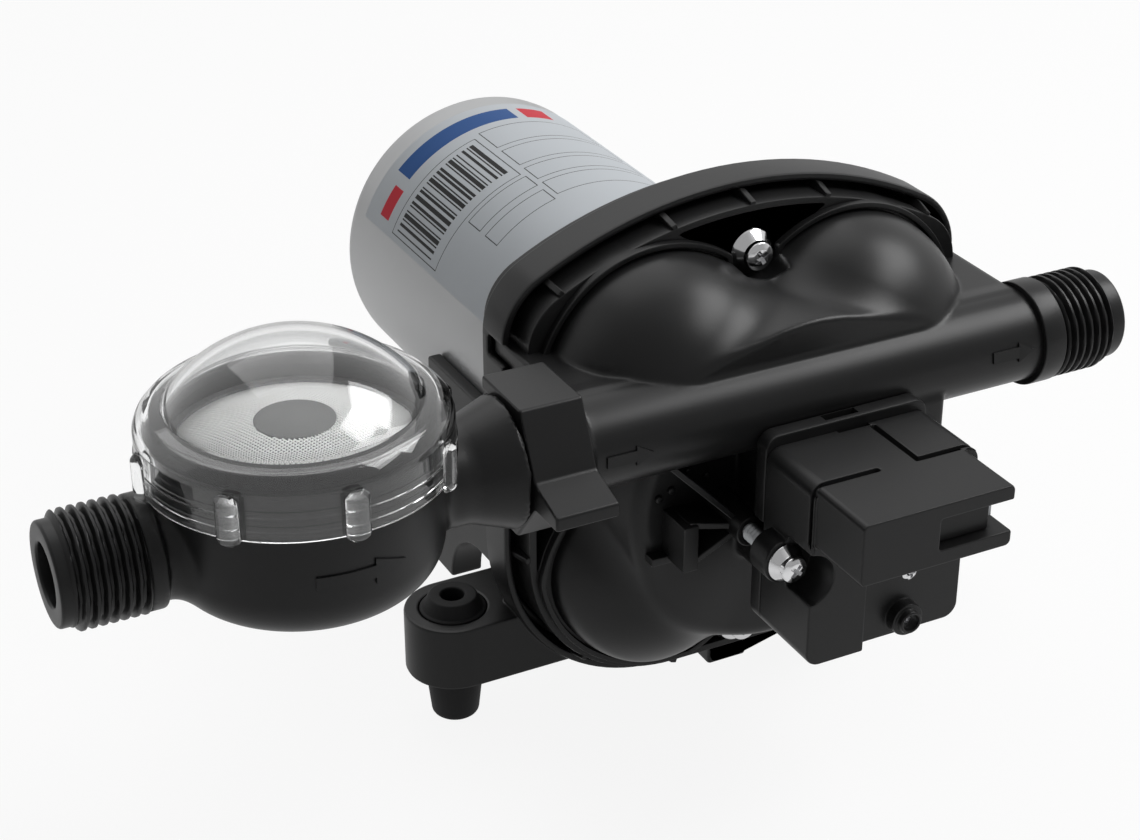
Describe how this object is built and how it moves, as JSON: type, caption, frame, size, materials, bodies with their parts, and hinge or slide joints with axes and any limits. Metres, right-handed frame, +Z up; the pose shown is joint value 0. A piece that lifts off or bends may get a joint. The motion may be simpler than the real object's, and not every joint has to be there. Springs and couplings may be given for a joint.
{
  "type": "caravan water pump",
  "caption": "Twelve-volt diaphragm water pump with can motor, domed black head, clip-on strainer with clear twist cover, pressure switch box and rubber front feet",
  "frame": {"origin": "On the ground, midway between the bolt holes of the two front feet, under the motor axis", "axes": "X along the water tube towards the outlet, Y towards the rear of the motor, Z up"},
  "size_m": [0.2172, 0.1963, 0.1119],
  "materials": {
    "can_steel": "drawn and plated, satin",
    "steel": "turned steel",
    "magnet": "sintered ferrite",
    "copper": "copper",
    "carbon": "pressed carbon",
    "label": "printed film",
    "black_plastic": "moulded, fine satin grain",
    "inner_plastic": "natural moulded plastic",
    "brown_plastic": "phenolic board",
    "rubber": "moulded rubber",
    "red_rubber": "silicone rubber",
    "chrome": "bright plated",
    "clear": "clear moulded plastic",
    "mesh_steel": "woven stainless gauze",
    "brass": "brass blades"
  },
  "bodies": {
    "pump": {"motor_can": "can_steel", "motor_end_plate": "steel", "motor_screws": "steel", "magnets": "magnet", "front_bearing": "steel", "rear_bearing": "brass", "brush_holder": "brown_plastic", "brushes": "carbon", "motor_label": "label", "diaphragm": "rubber", "drive_housing": "black_plastic", "motor_cradle": "black_plastic", "rubber_feet": "rubber", "valve_plate": "inner_plastic", "inlet_valves": "red_rubber", "outlet_valves": "red_rubber", "pump_head": "black_plastic", "head_screws": "chrome", "switch_base": "black_plastic", "switch_diaphragm": "rubber", "switch_spring": "steel", "microswitch": "black_plastic", "switch_cover": "black_plastic", "switch_screws": "chrome", "terminal_block": "black_plastic", "terminals": "brass"},
    "rotor": {"motor_shaft": "steel", "armature_core": "steel", "armature_windings": "copper", "commutator": "copper", "eccentric_hub": "steel"},
    "wobbler": {"cam_bearing": "steel", "wobble_plate": "inner_plastic", "diaphragm_pistons": "inner_plastic"},
    "clip": {"slide_clip": "black_plastic"},
    "strainer": {"filter_bowl": "black_plastic", "cover_seal": "rubber", "strainer_frame": "mesh_steel", "strainer_mesh": "mesh_steel", "spigot_seals": "rubber"},
    "cover": {"filter_cover": "clear"},
    "adjuster": {"adjuster_screw": "steel"},
    "plunger": {"switch_plunger": "inner_plastic"}
  },
  "joints": [
    {"name": "motor_spin", "type": "hinge", "parent": "pump", "child": "rotor", "pos_m": [0, 0.06, 0.0545], "axis": [0, 1, 0], "continuous": true},
    {"name": "wobble", "type": "hinge", "parent": "rotor", "child": "wobbler", "pos_m": [0, 0.0106, 0.0545], "axis": [0, 0.999, 0.0436], "continuous": true},
    {"name": "clip_slide", "type": "slide", "parent": "pump", "child": "clip", "axis": [0, -1, 0], "range_m": [0, 0.008]},
    {"name": "strainer_swivel", "type": "hinge", "parent": "pump", "child": "strainer", "pos_m": [-0.055, -0.036, 0.0785], "axis": [1, 0, 0], "range_deg": [-90, 90]},
    {"name": "cover_twist", "type": "hinge", "parent": "strainer", "child": "cover", "pos_m": [-0.1016, -0.036, 0.096], "axis": [0, 0, 1], "range_deg": [0, 40]},
    {"name": "adjuster_turn", "type": "hinge", "parent": "pump", "child": "adjuster", "pos_m": [0.0071, -0.063, 0.0408], "axis": [0, -1, 0], "range_deg": [-180, 180]},
    {"name": "plunger_push", "type": "slide", "parent": "pump", "child": "plunger", "axis": [0, -1, 0], "range_m": [0, 0.001], "stiffness_N_per_m": 800, "deforming": ["switch_spring"]}
  ],
  "couplings": [
    {"joint": "wobble", "follows": "motor_spin", "ratio": -1}
  ]
}
